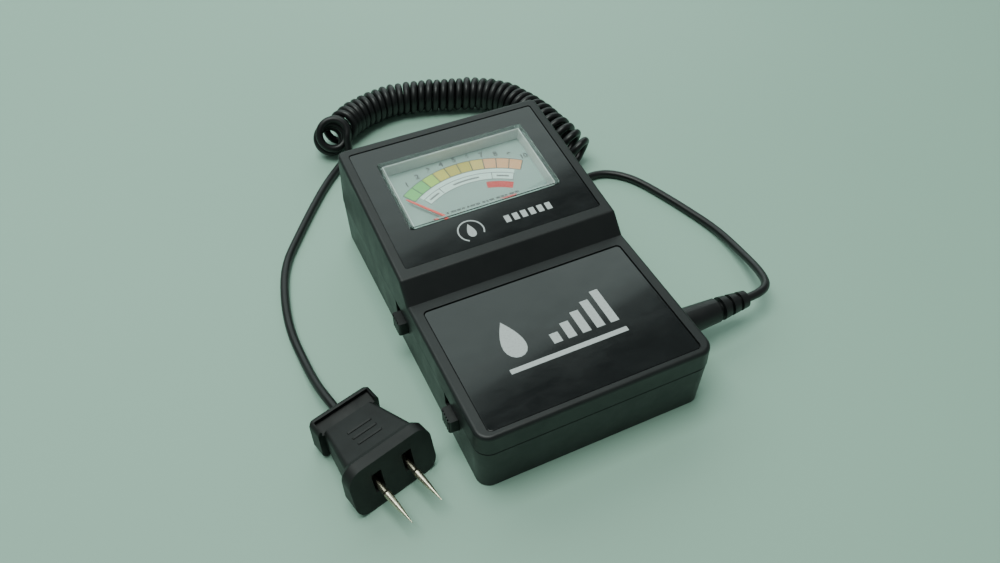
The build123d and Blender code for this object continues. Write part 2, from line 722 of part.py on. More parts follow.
COIL_ROUTE = [
    (60.8, 56.5, 7.1),
    (59.8, 70.0, 7.1),
    (57.6, 84.0, 7.1),
    (54.2, 98.0, 7.1),
    (49.2, 109.4, 7.1),
    (41.4, 116.6, 7.1),
    (30.2, 120.4, 7.1),
    (17.6, 125.0, 7.1),
    (5.2, 128.2, 7.1),
    (-6.6, 125.8, 7.1),
    (-17.4, 120.6, 7.1),
    (-26.6, 114.6, 7.3),
    (-32.0, 109.4, 8.4),
]


def lead_tube(points, radius):
    """Round tube along straight runs joined by tangent arcs."""
    radii = corner_radii(points)
    with BuildPart() as tube:
        with BuildLine():
            centreline = FilletPolyline(*points, radius=radii)
        with BuildSketch(Plane(origin=centreline @ 0, z_dir=centreline % 0)):
            Circle(radius)
        sweep(path=centreline)
    return tube, centreline, radii


for label, route, radius in (
    ("meter_cord", METER_ROUTE, CORD_D / 2),
    ("coil_cord", COIL_ROUTE, COIL_R),
    ("probe_cord", PROBE_ROUTE, CORD_D / 2),
):
    lead, centreline, radii = lead_tube(route, radius)
    expected = 3.14159 * radius**2 * centreline.length
    print(label, "length", round(centreline.length, 1), "radii", [round(r, 1) for r in radii])
    print(label, "volume over section times length", round(lead.part.volume / expected, 4))
    lead.part.label = label
    export_step(lead.part, f"parts/{label}.step")

# ---- probe ----
FORWARD = Vector(cos(radians(PROBE_YAW)), sin(radians(PROBE_YAW)), 0)
SIDEWAYS = Vector(-sin(radians(PROBE_YAW)), cos(radians(PROBE_YAW)), 0)


def probe_plane(distance, height=0):
    """Upright plane across the probe, at a distance ahead of its rear face."""
    origin = Vector(*PROBE_REAR, height) + FORWARD * distance
    return Plane(origin=origin, x_dir=SIDEWAYS, z_dir=FORWARD)


def probe_section(distance, width, height, centre_z, radius):
    """Rounded section of the probe's body at one station."""
    with BuildSketch(probe_plane(distance)) as section:
        with Locations((0, centre_z)):
            RectangleRounded(width, height, radius)
    return section.sketch


with BuildPart() as probe_body:
    # rear flange with a shallow pocket in its top
    loft([probe_section(0, 20.8, 12.2, 7, 1.6), probe_section(0.8, 22, 13.2, 7, 2)])
    loft([probe_section(0.8, 22, 13.2, 7, 2), probe_section(5.8, 22, 13.2, 7, 2)])
    pocket_side = Plane(origin=Vector(*PROBE_REAR, 0), x_dir=FORWARD, z_dir=-SIDEWAYS)
    with BuildSketch(pocket_side):
        with BuildLine():
            Polyline((1.5, 15), (1.5, 12.0), (6.2, 11.2), (6.2, 15), close=True)
        make_face()
    extrude(amount=9.6, both=True, mode=Mode.SUBTRACT)
    # flaring body and wide front block
    loft([probe_section(5.4, 17.6, 11, 6.8, 1.4), probe_section(24.4, 25, 16.4, 8.7, 2)])
    loft([probe_section(22.2, 26.8, 16.8, 8.9, 4.6), probe_section(23.4, 28.6, 17.8, 9, 5)])
    loft([probe_section(23.4, 28.6, 17.8, 9, 5), probe_section(PROBE_LEN, 29, 18, 9, 5)])
    # front face, leaning back towards its top
    with BuildSketch(pocket_side):
        with BuildLine():
            Polyline((26.7, 18.5), (PROBE_LEN, 1.0), (PROBE_LEN, -1), (35, -1), (35, 22), close=True)
        make_face()
    extrude(amount=16, both=True, mode=Mode.SUBTRACT)
    # three thin grip ribs across the top
    for i in range(3):
        station = 11.4 + 2.9 * i
        rib_top = 12.3 + (station - 5.4) * 4.6 / 19 + 0.35
        with BuildSketch(probe_plane(station)):
            with Locations((0, rib_top - 1)):
                RectangleRounded(8.6, 2, 0.4)
        extrude(amount=0.6)
    # tall sockets and bores for the pins
    with BuildSketch(probe_plane(PROBE_LEN - 5)):
        for x in (-PIN_SPACING / 2, PIN_SPACING / 2):
            with Locations((x, PIN_Z + 2.2)):
                Rectangle(3.4, 7.4)
    extrude(amount=8, mode=Mode.SUBTRACT)
    with BuildSketch(probe_plane(PROBE_LEN)):
        with Locations((-PIN_SPACING / 2, PIN_Z), (PIN_SPACING / 2, PIN_Z)):
            Circle(1.0)
    extrude(amount=-12, mode=Mode.SUBTRACT)
probe_body.part.label = "probe_body"
export_step(probe_body.part, "parts/probe_body.step")

with BuildPart() as probe_pins:
    for offset_x in (-PIN_SPACING / 2, PIN_SPACING / 2):
        base = probe_plane(PROBE_LEN - 12, PIN_Z).from_local_coords((offset_x, 0, 0))
        pin_plane = Plane(origin=base, x_dir=FORWARD, z_dir=Vector(0, 0, 1))
        with BuildSketch(pin_plane):
            with BuildLine():
                Polyline(
                    (0, 0), (0, 0.99), (13.4, 0.99), (14.2, 1.25), (20.2, 0.85),
                    (12 + PIN_REACH - 0.2, 0.12), (12 + PIN_REACH, 0), close=True,
                )
            make_face()
        revolve(axis=Axis(base, FORWARD))
probe_pins.part.label = "probe_pins"
export_step(probe_pins.part, "parts/probe_pins.step")

# ---- nine volt battery and its snap ----
TERMINALS = [(BATTERY_Y - 6.35, 2.9), (BATTERY_Y + 6.35, 3.9)]
with BuildPart() as battery:
    with BuildSketch(Plane.YZ.offset(-21.5)):
        with Locations((BATTERY_Y, BATTERY_Z)):
            RectangleRounded(26.5, 17.5, 2)
    extrude(amount=46)
    for y, radius in TERMINALS:
        with BuildSketch(Plane.YZ.offset(-21.5)):
            with Locations((y, BATTERY_Z)):
                Circle(radius)
        extrude(amount=-2.5)
battery.part.label = "battery"
export_step(battery.part, "parts/battery.step")

with BuildPart() as battery_snap:
    with BuildSketch(Plane.YZ.offset(-26.9)):
        with Locations((BATTERY_Y, BATTERY_Z)):
            RectangleRounded(26, 12.4, 3)
    extrude(amount=5)
    for y, radius in TERMINALS:
        with BuildSketch(Plane.YZ.offset(-24.1)):
            with Locations((y, BATTERY_Z)):
                Circle(radius + 0.06)
        extrude(amount=4, mode=Mode.SUBTRACT)
battery_snap.part.label = "battery_snap"
export_step(battery_snap.part, "parts/battery_snap.step")

# ---- case and board screws ----
with BuildPart() as case_screws:
    with BuildSketch(Plane.XY.offset(4)):
        with Locations(*CASE_SCREWS):
            Circle(2.6)
    extrude(amount=-1.9)
    with BuildSketch(Plane.XY.offset(2.1)):
        with Locations(*CASE_SCREWS):
            Rectangle(3, 0.6)
            Rectangle(0.6, 3)
    extrude(amount=1, mode=Mode.SUBTRACT)
    with BuildSketch(Plane.XY.offset(4)):
        with Locations(*CASE_SCREWS):
            Circle(1.4)
    extrude(amount=16)
case_screws.part.label = "case_screws"
export_step(case_screws.part, "parts/case_screws.step")

with BuildPart() as board_screws:
    with BuildSketch(Plane.XY.offset(BOARD_TOP)):
        with Locations(*BOARD_SCREWS):
            Circle(1.9)
    extrude(amount=1.2)
    with BuildSketch(Plane.XY.offset(BOARD_TOP)):
        with Locations(*BOARD_SCREWS):
            Circle(0.9)
    extrude(amount=-4.4)
board_screws.part.label = "board_screws"
export_step(board_screws.part, "parts/board_screws.step")
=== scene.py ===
import json
from math import cos, pi, radians, sin

import bmesh
import bpy
from mathutils import Matrix, Vector


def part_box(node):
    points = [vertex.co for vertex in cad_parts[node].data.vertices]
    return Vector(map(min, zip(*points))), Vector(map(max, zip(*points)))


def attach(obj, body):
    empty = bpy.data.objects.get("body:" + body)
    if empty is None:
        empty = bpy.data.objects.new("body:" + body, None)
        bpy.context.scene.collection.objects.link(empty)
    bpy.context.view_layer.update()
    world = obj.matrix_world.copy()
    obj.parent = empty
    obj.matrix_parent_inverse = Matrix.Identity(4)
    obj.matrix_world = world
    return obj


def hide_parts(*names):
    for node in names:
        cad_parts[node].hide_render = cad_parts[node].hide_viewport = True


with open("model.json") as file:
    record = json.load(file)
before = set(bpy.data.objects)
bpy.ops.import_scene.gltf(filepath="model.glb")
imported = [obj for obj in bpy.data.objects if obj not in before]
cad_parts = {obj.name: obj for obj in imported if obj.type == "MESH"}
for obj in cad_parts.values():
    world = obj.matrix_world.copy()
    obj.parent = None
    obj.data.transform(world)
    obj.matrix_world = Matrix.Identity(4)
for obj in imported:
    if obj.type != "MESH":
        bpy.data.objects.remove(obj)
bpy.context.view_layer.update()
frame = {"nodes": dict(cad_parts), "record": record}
MM = 0.001


# ---------------------------------------------------------------- places taken from the frame
JOINTS = {joint["name"]: joint for joint in frame["record"]["behaviour"]["joints"]}
# the pointer turns about a point this far under the face of the display
PIVOT_DEPTH = 13.0
SWING = JOINTS["pointer_swing"]
DISPLAY_N = Vector(SWING["axis"]).normalized()
DISPLAY_U = Vector((1, 0, 0))
DISPLAY_V = DISPLAY_N.cross(DISPLAY_U).normalized()
DISPLAY_O = Vector(SWING["pos_m"]) + DISPLAY_N * PIVOT_DEPTH * MM
FRONT_PANEL_LOW, FRONT_PANEL_HIGH = [Vector(corner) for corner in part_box("front_panel")]
FRONT_O = Vector((0, (FRONT_PANEL_LOW.y + FRONT_PANEL_HIGH.y) / 2, FRONT_PANEL_HIGH.z))


def display_matrix(w):
    """Millimetres on the display plane, at height w above it, to metres in the frame."""
    axes = Matrix((DISPLAY_U, DISPLAY_V, DISPLAY_N)).transposed().to_4x4()
    return Matrix.Translation(DISPLAY_O + DISPLAY_N * w * MM) @ axes @ Matrix.Scale(MM, 4)


def front_matrix(w):
    """Millimetres on the front panel, at height w above it, to metres in the frame."""
    return Matrix.Translation(FRONT_O + Vector((0, 0, w * MM))) @ Matrix.Scale(MM, 4)


# ---------------------------------------------------------------- materials
def new_material(name, colour, roughness, metallic=0.0):
    """A Principled material in object coordinates, with its nodes at hand."""
    material = bpy.data.materials.new(name)
    material.use_nodes = True
    nodes = material.node_tree.nodes
    links = material.node_tree.links
    shader = nodes["Principled BSDF"]
    shader.inputs["Base Color"].default_value = (*colour, 1)
    shader.inputs["Roughness"].default_value = roughness
    shader.inputs["Metallic"].default_value = metallic
    coords = nodes.new("ShaderNodeTexCoord")
    return material, nodes, links, shader, coords


def add_noise(nodes, links, coords, scale, detail=3.0, rough=0.55, stretch=(1, 1, 1)):
    """Noise over object coordinates; the scale is in features per metre."""
    mapping = nodes.new("ShaderNodeMapping")
    mapping.inputs["Scale"].default_value = stretch
    links.new(coords.outputs["Object"], mapping.inputs["Vector"])
    noise = nodes.new("ShaderNodeTexNoise")
    noise.inputs["Scale"].default_value = scale
    noise.inputs["Detail"].default_value = detail
    noise.inputs["Roughness"].default_value = rough
    links.new(mapping.outputs["Vector"], noise.inputs["Vector"])
    return noise


def add_range(nodes, links, source, low, high, start=0.3, end=0.7):
    """Remap a noise value to low..high."""
    remap = nodes.new("ShaderNodeMapRange")
    remap.inputs["From Min"].default_value = start
    remap.inputs["From Max"].default_value = end
    remap.inputs["To Min"].default_value = low
    remap.inputs["To Max"].default_value = high
    links.new(source, remap.inputs["Value"])
    return remap


def add_colours(nodes, links, source, stops):
    """Colour ramp over a value."""
    ramp = nodes.new("ShaderNodeValToRGB")
    elements = ramp.color_ramp.elements
    while len(elements) < len(stops):
        elements.new(0.5)
    for element, (position, colour) in zip(elements, stops):
        element.position = position
        element.color = (*colour, 1)
    links.new(source, ramp.inputs["Fac"])
    return ramp


def add_bump(nodes, links, shader, height, strength, distance, before=None):
    """Bump from a height value, on top of an earlier bump if there is one."""
    bump = nodes.new("ShaderNodeBump")
    bump.inputs["Strength"].default_value = strength
    bump.inputs["Distance"].default_value = distance
    links.new(height, bump.inputs["Height"])
    if before is not None:
        links.new(before.outputs["Normal"], bump.inputs["Normal"])
    links.new(bump.outputs["Normal"], shader.inputs["Normal"])
    return bump


def mottled(name, dark, light, rough_low, rough_high, grain, depth):
    """Moulded or cast surface: broad tone drift, uneven gloss and a fine grain."""
    material, nodes, links, shader, coords = new_material(name, dark, rough_low)
    drift = add_noise(nodes, links, coords, 38, detail=5, rough=0.6)
    tone = add_colours(nodes, links, drift.outputs["Fac"], [(0.35, dark), (0.65, light)])
    links.new(tone.outputs["Color"], shader.inputs["Base Color"])
    smudge = add_noise(nodes, links, coords, 120, detail=6, rough=0.65)
    gloss = add_range(nodes, links, smudge.outputs["Fac"], rough_low, rough_high)
    links.new(gloss.outputs["Result"], shader.inputs["Roughness"])
    fine = add_noise(nodes, links, coords, grain, detail=2, rough=0.5)
    add_bump(nodes, links, shader, fine.outputs["Fac"], 0.35, depth)
    return material


def worn_metal(name, colour, shade, rough_low, rough_high, stretch=(1, 1, 1)):
    """Metal with fine scratches and a faint tarnish; the stretch gives them a direction."""
    material, nodes, links, shader, coords = new_material(name, colour, rough_low, 1.0)
    tarnish = add_noise(nodes, links, coords, 260, detail=4)
    tone = add_colours(nodes, links, tarnish.outputs["Fac"], [(0.35, shade), (0.62, colour)])
    links.new(tone.outputs["Color"], shader.inputs["Base Color"])
    lines = add_noise(nodes, links, coords, 900, detail=2, stretch=stretch)
    gloss = add_range(nodes, links, lines.outputs["Fac"], rough_low, rough_high)
    links.new(gloss.outputs["Result"], shader.inputs["Roughness"])
    add_bump(nodes, links, shader, lines.outputs["Fac"], 0.12, 0.00001)
    return material


def printed(name, colour, strength=0.9):
    """Printing ink: slightly uneven cover with tiny missed specks."""
    material, nodes, links, shader, coords = new_material(name, colour, 0.5)
    cover = add_noise(nodes, links, coords, 1400, detail=3)
    faded = tuple(channel * strength for channel in colour)
    tone = add_colours(nodes, links, cover.outputs["Fac"], [(0.34, faded), (0.5, colour)])
    links.new(tone.outputs["Color"], shader.inputs["Base Color"])
    gloss = add_range(nodes, links, cover.outputs["Fac"], 0.42, 0.6)
    links.new(gloss.outputs["Result"], shader.inputs["Roughness"])
    return material


CASE = mottled(
    "case_plastic", (0.008, 0.0095, 0.01), (0.012, 0.0135, 0.014),
    0.38, 0.52, 3200, 0.00006,
)
DOOR = mottled(
    "door_plastic", (0.008, 0.009, 0.0095), (0.011, 0.0125, 0.013),
    0.42, 0.54, 3200, 0.00006,
)
KNOB = mottled(
    "knob_plastic", (0.003, 0.003, 0.0033), (0.005, 0.005, 0.0055),
    0.34, 0.48, 2600, 0.00004,
)
PLUG = mottled(
    "plug_plastic", (0.006, 0.0065, 0.007), (0.009, 0.0095, 0.01),
    0.38, 0.52, 2400, 0.00005,
)
PROBE = mottled(
    "probe_plastic", (0.0045, 0.0052, 0.0052), (0.007, 0.008, 0.008),
    0.5, 0.64, 2100, 0.00007,
)
JACKET = mottled(
    "cord_jacket", (0.006, 0.006, 0.0065), (0.01, 0.01, 0.011),
    0.32, 0.46, 1800, 0.00004,
)
CHASSIS = mottled(
    "chassis_plastic", (0.02, 0.02, 0.021), (0.03, 0.03, 0.031),
    0.45, 0.6, 1500, 0.00005,
)
CHIP = mottled(
    "chip_plastic", (0.016, 0.016, 0.017), (0.024, 0.024, 0.025),
    0.5, 0.65, 2000, 0.00004,
)
BOARD = mottled(
    "board_green", (0.02, 0.1, 0.045), (0.03, 0.15, 0.065),
    0.32, 0.45, 900, 0.00003,
)
TRIMMER = mottled(
    "trimmer_blue", (0.02, 0.07, 0.26), (0.03, 0.1, 0.34),
    0.35, 0.5, 1500, 0.00003,
)
SLEEVE = mottled(
    "capacitor_sleeve", (0.012, 0.014, 0.04), (0.02, 0.022, 0.06),
    0.25, 0.4, 1200, 0.00003,
)
RESISTOR = mottled(
    "resistor_body", (0.5, 0.38, 0.22), (0.62, 0.48, 0.3),
    0.3, 0.45, 1200, 0.00003,
)
BATTERY = mottled(
    "battery_can", (0.03, 0.03, 0.033), (0.05, 0.05, 0.054),
    0.25, 0.4, 800, 0.00002,
)
POINTER = mottled(
    "pointer_red", (0.62, 0.05, 0.04), (0.74, 0.08, 0.06),
    0.35, 0.5, 1500, 0.00002,
)
STEEL = worn_metal("screw_steel", (0.62, 0.62, 0.6), (0.4, 0.4, 0.39), 0.28, 0.45)
YOKE = worn_metal("yoke_steel", (0.5, 0.5, 0.51), (0.34, 0.34, 0.35), 0.35, 0.5)
BRASS = worn_metal("brass", (0.78, 0.6, 0.28), (0.55, 0.4, 0.17), 0.25, 0.4)
COPPER = worn_metal("coil_wire", (0.72, 0.4, 0.24), (0.5, 0.26, 0.15), 0.3, 0.45, (1, 1, 6))
ALUMINIUM = worn_metal("bridge_aluminium", (0.74, 0.74, 0.75), (0.55, 0.55, 0.56), 0.3, 0.45)
NICKEL = worn_metal("nickel", (0.72, 0.71, 0.67), (0.55, 0.54, 0.5), 0.12, 0.25)
PIN = worn_metal("pin_metal", (0.66, 0.62, 0.48), (0.5, 0.47, 0.36), 0.24, 0.38, (4, 1, 1))
SILVER_INK = printed("silver_ink", (0.62, 0.66, 0.66), 0.86)
DARK_INK = printed("dark_ink", (0.06, 0.07, 0.07))
GREY_INK = printed("grey_ink", (0.13, 0.15, 0.15))
# pale fill of the inner band: part print, part painted light where the band is lit and the dial
# below lies in shade
PALE_INK_AND_LIGHT = printed("pale_ink_and_painted_light", (0.5, 0.63, 0.59))
RED_INK = printed("red_ink", (0.5, 0.03, 0.03))


def gloss_panel(name):
    """Back-printed glossy label: dark, nearly flat, with smears and fine scratches."""
    material, nodes, links, shader, coords = new_material(name, (0.006, 0.007, 0.0075), 0.12)
    drift = add_noise(nodes, links, coords, 25, detail=4)
    stops = [(0.3, (0.005, 0.006, 0.0065)), (0.7, (0.009, 0.0105, 0.011))]
    tone = add_colours(nodes, links, drift.outputs["Fac"], stops)
    links.new(tone.outputs["Color"], shader.inputs["Base Color"])
    smear = add_noise(nodes, links, coords, 60, detail=7, rough=0.7, stretch=(1, 2.2, 1))
    gloss = add_range(nodes, links, smear.outputs["Fac"], 0.1, 0.24, 0.35, 0.75)
    links.new(gloss.outputs["Result"], shader.inputs["Roughness"])
    ripple = add_noise(nodes, links, coords, 45, detail=2)
    first = add_bump(nodes, links, shader, ripple.outputs["Fac"], 0.12, 0.0004)
    scratch = add_noise(nodes, links, coords, 1500, detail=2, stretch=(1, 9, 1))
    add_bump(nodes, links, shader, scratch.outputs["Fac"], 0.06, 0.00003, first)
    shader.inputs["Coat Weight"].default_value = 0.35
    shader.inputs["Coat Roughness"].default_value = 0.06
    return material


def clear_plastic(name):
    """Clear moulded lens with a trace of haze."""
    material, nodes, links, shader, coords = new_material(name, (0.96, 0.985, 0.975), 0.03)
    shader.inputs["Transmission Weight"].default_value = 1.0
    shader.inputs["IOR"].default_value = 1.3
    haze = add_noise(nodes, links, coords, 90, detail=5, rough=0.6)
    gloss = add_range(nodes, links, haze.outputs["Fac"], 0.0, 0.02, 0.4, 0.8)
    links.new(gloss.outputs["Result"], shader.inputs["Roughness"])
    return material


def dial_card(name):
    """Painted dial: off-white, satin, with a faint unevenness."""
    material, nodes, links, shader, coords = new_material(name, (0.22, 0.31, 0.285), 0.5)
    drift = add_noise(nodes, links, coords, 70, detail=4)
    stops = [(0.3, (0.205, 0.295, 0.27)), (0.7, (0.235, 0.33, 0.3))]
    tone = add_colours(nodes, links, drift.outputs["Fac"], stops)
    links.new(tone.outputs["Color"], shader.inputs["Base Color"])
    fine = add_noise(nodes, links, coords, 3500, detail=2)
    add_bump(nodes, links, shader, fine.outputs["Fac"], 0.15, 0.00002)
    return material


PANEL = gloss_panel("panel_gloss")
LENS = clear_plastic("clear_lens")
DIAL = dial_card("dial_card")

NODE_MATERIALS = {
    "upper_shell": CASE, "lower_shell": CASE, "battery_door": DOOR,
    "front_panel": PANEL, "display_bezel": PANEL, "meter_lens": LENS, "dial_plate": DIAL,
    "meter_chassis": CHASSIS, "yoke_ring": YOKE, "core_magnet": YOKE,
    "top_bridge": ALUMINIUM, "jewel_bearings": BRASS, "moving_coil": COPPER,
    "pivot_staffs": STEEL, "pointer": POINTER, "hairspring": BRASS,
    "dial_screws": STEEL, "chassis_screws": STEEL, "case_screws": STEEL, "board_screws": STEEL,
    "circuit_board": BOARD, "amplifier_chip": CHIP, "calibration_trimmers": TRIMMER,
    "capacitors": SLEEVE, "resistors": RESISTOR, "transistors": CHIP,
    "power_switch_body": STEEL, "range_switch_body": STEEL,
    "power_switch_knob": KNOB, "range_switch_knob": KNOB,
    "jack_socket": CHASSIS, "plug_contact": NICKEL, "plug_handle": PLUG,
    "probe_body": PROBE, "probe_pins": PIN, "battery": BATTERY, "battery_snap": CHASSIS,
}
for node, material in NODE_MATERIALS.items():
    piece = frame["nodes"][node]
    for slot in piece.material_slots:
        slot.material = material
frame["nodes"]["meter_lens"].visible_shadow = False


# ---------------------------------------------------------------- mesh helpers
def mesh_piece(name, build, material, matrix=None):
    """New flat-shaded mesh object from a function that fills a bmesh; the matrix is applied."""
    shape = bmesh.new()
    build(shape)
    if matrix is not None:
        bmesh.ops.transform(shape, matrix=matrix, verts=shape.verts)
    bmesh.ops.recalc_face_normals(shape, faces=shape.faces)
    mesh = bpy.data.meshes.new(name)
    shape.to_mesh(mesh)
    shape.free()
    mesh.materials.append(material)
    piece = bpy.data.objects.new(name, mesh)
    bpy.context.collection.objects.link(piece)
    return piece


def extruded(shape, outline, height):
    """Closed prism on an outline, from z = 0 to the height."""
    low = [shape.verts.new((x, y, 0)) for x, y in outline]
    high = [shape.verts.new((x, y, height)) for x, y in outline]
    shape.faces.new(low[::-1])
    shape.faces.new(high)
    for i in range(len(outline)):
        j = (i + 1) % len(outline)
        shape.faces.new((low[i], low[j], high[j], high[i]))


def polar(radius, degrees):
    """Point on the dial about the pointer's pivot, in degrees clockwise from the rear."""
    return radius * sin(radians(degrees)), radius * cos(radians(degrees))


def sector(inner, outer, start, end, steps=8):
    """Outline of a ring sector about the origin."""
    angles = [start + (end - start) * i / steps for i in range(steps + 1)]
    return [polar(outer, a) for a in angles] + [polar(inner, a) for a in reversed(angles)]


def rectangle(left, low, right, high):
    return [(left, low), (right, low), (right, high), (left, high)]


def moved(outline, x, y):
    return [(px + x, py + y) for px, py in outline]


def stroke(points, width):
    """One quad along each leg of a line, with the given width."""
    outlines = []
    for (x0, y0), (x1, y1) in zip(points, points[1:]):
        along = Vector((x1 - x0, y1 - y0))
        across = Vector((-along.y, along.x)).normalized() * width / 2
        outlines.append([
            (x0 + across.x, y0 + across.y), (x0 - across.x, y0 - across.y),
            (x1 - across.x, y1 - across.y), (x1 + across.x, y1 + across.y),
        ])
    return outlines


def printed_piece(name, outlines, material, matrix, height):
    """Printing as a very thin raised film, one prism per outline."""
    def build(shape):
        for outline in outlines:
            extruded(shape, outline, height)

    piece = mesh_piece(name, build, material, matrix)
    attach(piece, "meter")
    return piece


# ---------------------------------------------------------------- dial printing
DIAL_TOP = -6.0
INK = 0.035
SCALE_START, SCALE_END, CELLS = -35.0, 35.0, 10
BAND_INNER, BAND_OUTER = 35.8, 40.8
DIVIDER_W = 0.36
RIM_W = 0.2
NUMERAL_R = 43.0
NUMERAL_SIZE = 3.1
NUMERAL_WEIGHT = 0.11
# the inner band: three pale fields, part print and part painted light that lifts them over the
# shaded dial below, with thin lines and one bar in each
FIELD_INNER, FIELD_OUTER = 30.5, 35.5
FIELD_EDGES = (-31.0, -18.0, 17.5, 31.5)
FIELD_LINE_RADII = (33.5, 30.3)
FIELD_LINE_W = 0.25
FIELD_MARK_INNER, FIELD_MARK_OUTER, FIELD_MARK_W = 30.4, 33.6, 0.28
FIELD_BARS = ((-28.5, -20.5), (-9, 9), (20.5, 28.5))
BAR_INNER, BAR_OUTER = 31.65, 32.35
# the red block under the right end of the scale: radii and angles
RED_BLOCK = (26.3, 29.3, 12.6, 32.2)
# two rows of dashes at the foot of the dial
DASH_ROWS = [(-12.5, 14.0), (-12.0, 13.0)]
DASH_TOP_ROW, DASH_ROW_STEP, DASH_H = 19.7, 1.7, 0.85
CELL_COLOURS = [
    ("green", (0.13, 0.42, 0.12), 2), ("lime", (0.32, 0.5, 0.08), 1),
    ("yellow", (0.48, 0.42, 0.07), 1), ("olive", (0.42, 0.35, 0.06), 2),
    ("amber", (0.52, 0.4, 0.11), 1), ("salmon", (0.6, 0.32, 0.16), 3),
]
cell_width = (SCALE_END - SCALE_START) / CELLS
angle = SCALE_START
for tint, colour, count in CELL_COLOURS:
    end = angle + cell_width * count
    printed_piece(
        f"scale_{tint}", [sector(BAND_INNER, BAND_OUTER, angle, end, 6 * count)],
        printed(f"ink_{tint}", colour, 0.93), display_matrix(DIAL_TOP), INK,
    )
    angle = end

dividers = []
for i in range(CELLS + 1):
    mark = SCALE_START + cell_width * i
    dividers += stroke([polar(BAND_INNER, mark), polar(BAND_OUTER, mark)], DIVIDER_W)
printed_piece("scale_dividers", dividers, DARK_INK, display_matrix(DIAL_TOP + INK), INK)
rims = [
    sector(radius - RIM_W / 2, radius + RIM_W / 2, SCALE_START, SCALE_END, 48)
    for radius in (BAND_OUTER, BAND_INNER)
]
printed_piece("scale_rims", rims, DARK_INK, display_matrix(DIAL_TOP + INK), INK)

band_lines = []
band_fills_and_light = []
for start, end in zip(FIELD_EDGES, FIELD_EDGES[1:]):
    band_fills_and_light.append(sector(FIELD_INNER, FIELD_OUTER, start, end, 20))
    for radius in FIELD_LINE_RADII:
        band_lines.append(sector(radius, radius + FIELD_LINE_W, start, end, 20))
for mark in FIELD_EDGES:
    ends = [polar(FIELD_MARK_INNER, mark), polar(FIELD_MARK_OUTER, mark)]
    band_lines += stroke(ends, FIELD_MARK_W)
# the pale fill is partly painted light: the band's lit tone against the dial in shade below it
printed_piece("inner_band_fill_and_light", band_fills_and_light, PALE_INK_AND_LIGHT, display_matrix(DIAL_TOP), INK)
printed_piece("inner_band_lines", band_lines, GREY_INK, display_matrix(DIAL_TOP + INK), INK)
band_bars = [sector(BAR_INNER, BAR_OUTER, start, end, 10) for start, end in FIELD_BARS]
printed_piece("inner_band_dashes", band_bars, GREY_INK, display_matrix(DIAL_TOP + INK), INK)
printed_piece(
    "red_block", [sector(*RED_BLOCK, 14)], RED_INK, display_matrix(DIAL_TOP), INK
)

foot_dashes = []
for row, (left, right) in enumerate(DASH_ROWS):
    x = left
    step = 0
    y = DASH_TOP_ROW - DASH_ROW_STEP * row
    while x < right:
        length = 0.8 + 1.0 * ((step * 7 + row * 3) % 4) / 3
        foot_dashes.append(rectangle(x, y, x + length, y + DASH_H))
        x += length + (0.4 if step % 3 else 0.9)
        step += 1
printed_piece("foot_dashes", foot_dashes, DARK_INK, display_matrix(DIAL_TOP), INK)

for number in range(1, CELLS + 1):
    letters = bpy.data.curves.new(f"numeral_{number}", "FONT")
    letters.body = str(number)
    letters.size = NUMERAL_SIZE
    letters.offset = NUMERAL_WEIGHT
    letters.extrude = INK / 2
    letters.align_x = "CENTER"
    letters.align_y = "CENTER"
    letters.materials.append(DARK_INK)
    x, y = polar(NUMERAL_R, SCALE_START + cell_width * number)
    numeral = bpy.data.objects.new(f"numeral_{number}", letters)
    numeral.matrix_world = display_matrix(DIAL_TOP + INK / 2) @ Matrix.Translation((x, y, 0))
    bpy.context.collection.objects.link(numeral)
    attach(numeral, "meter")


# ---------------------------------------------------------------- pale walls inside the lens, painted light on its inner sides
LENS_INNER = (26.7, 15.3, 44.7)
LINER_T = 0.25
LINER_FOOT = -5.9
LINER_H = 4.9


def build_liner(shape):
    """Three thin pale walls inside the lens, painted light on its inner sides; the front is left
    open for the pointer.
    """
    half, front, rear = LENS_INNER
    walls = [
        rectangle(-half, front, -half + LINER_T, rear),
        rectangle(half - LINER_T, front, half, rear),
        rectangle(-half, rear - LINER_T, half, rear),
    ]
    for wall in walls:
        extruded(shape, wall, LINER_H)


# pale sheet colour: painted light, standing in for the light that the clear lens walls catch
LENS_WALL_LIGHT = mottled(
    "lens_wall_painted_light", (0.5, 0.56, 0.54), (0.58, 0.64, 0.62),
    0.4, 0.55, 1500, 0.00003,
)
liner = mesh_piece("lens_liner", build_liner, LENS_WALL_LIGHT, display_matrix(LINER_FOOT))
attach(liner, "meter")


# ---------------------------------------------------------------- pictograms on the panels
PANEL_INK = 0.03
BEZEL_TOP = -0.3


def drop_outline(height, steps=22):
    """Water drop: round below, drawn up to a point."""
    points = []
    for i in range(steps):
        turn = 2 * pi * i / steps
        width = 0.5 * height * 0.68 * sin(turn) * sin(turn / 2) ** 1.15
        points.append((width, 0.5 * height * cos(turn)))
    return points


# a drop beside five rising bars, over a line
BARS_FOOT = -4.2
front_marks = [moved(drop_outline(15.0), -15.5, 3.2)]
for i, height in enumerate((4.0, 6.6, 9.2, 11.8, 14.4)):
    x = -2.5 + 5.0 * i
    front_marks.append(rectangle(x - 1.5, BARS_FOOT, x + 1.5, BARS_FOOT + height))
front_marks.append(rectangle(-21.0, -9.2, 19.5, -7.4))
printed_piece("front_pictogram", front_marks, SILVER_INK, front_matrix(0.0), PANEL_INK)

# a drop in an open ring, and six equal bars
bezel_marks = [moved(drop_outline(5.8), -9.8, 5.9)]
bezel_marks.append(moved(sector(4.2, 4.7, -150, 120, 24), -9.8, 5.7))
for i in range(6):
    x = 2.8 + 3.1 * i
    bezel_marks.append(rectangle(x, 4.3, x + 2.0, 7.4))
printed_piece("bezel_pictogram", bezel_marks, SILVER_INK, display_matrix(BEZEL_TOP), PANEL_INK)


# ---------------------------------------------------------------- lead
CORD_D = 3.1
HELIX_R = 5.62
TURN_POINTS = 14
START_PHASE, END_PHASE = 20, 300
# distance between turns: close, with wider loops over the first stretch
CLOSE_PITCH = 3.36
OPEN_STRETCH = 62
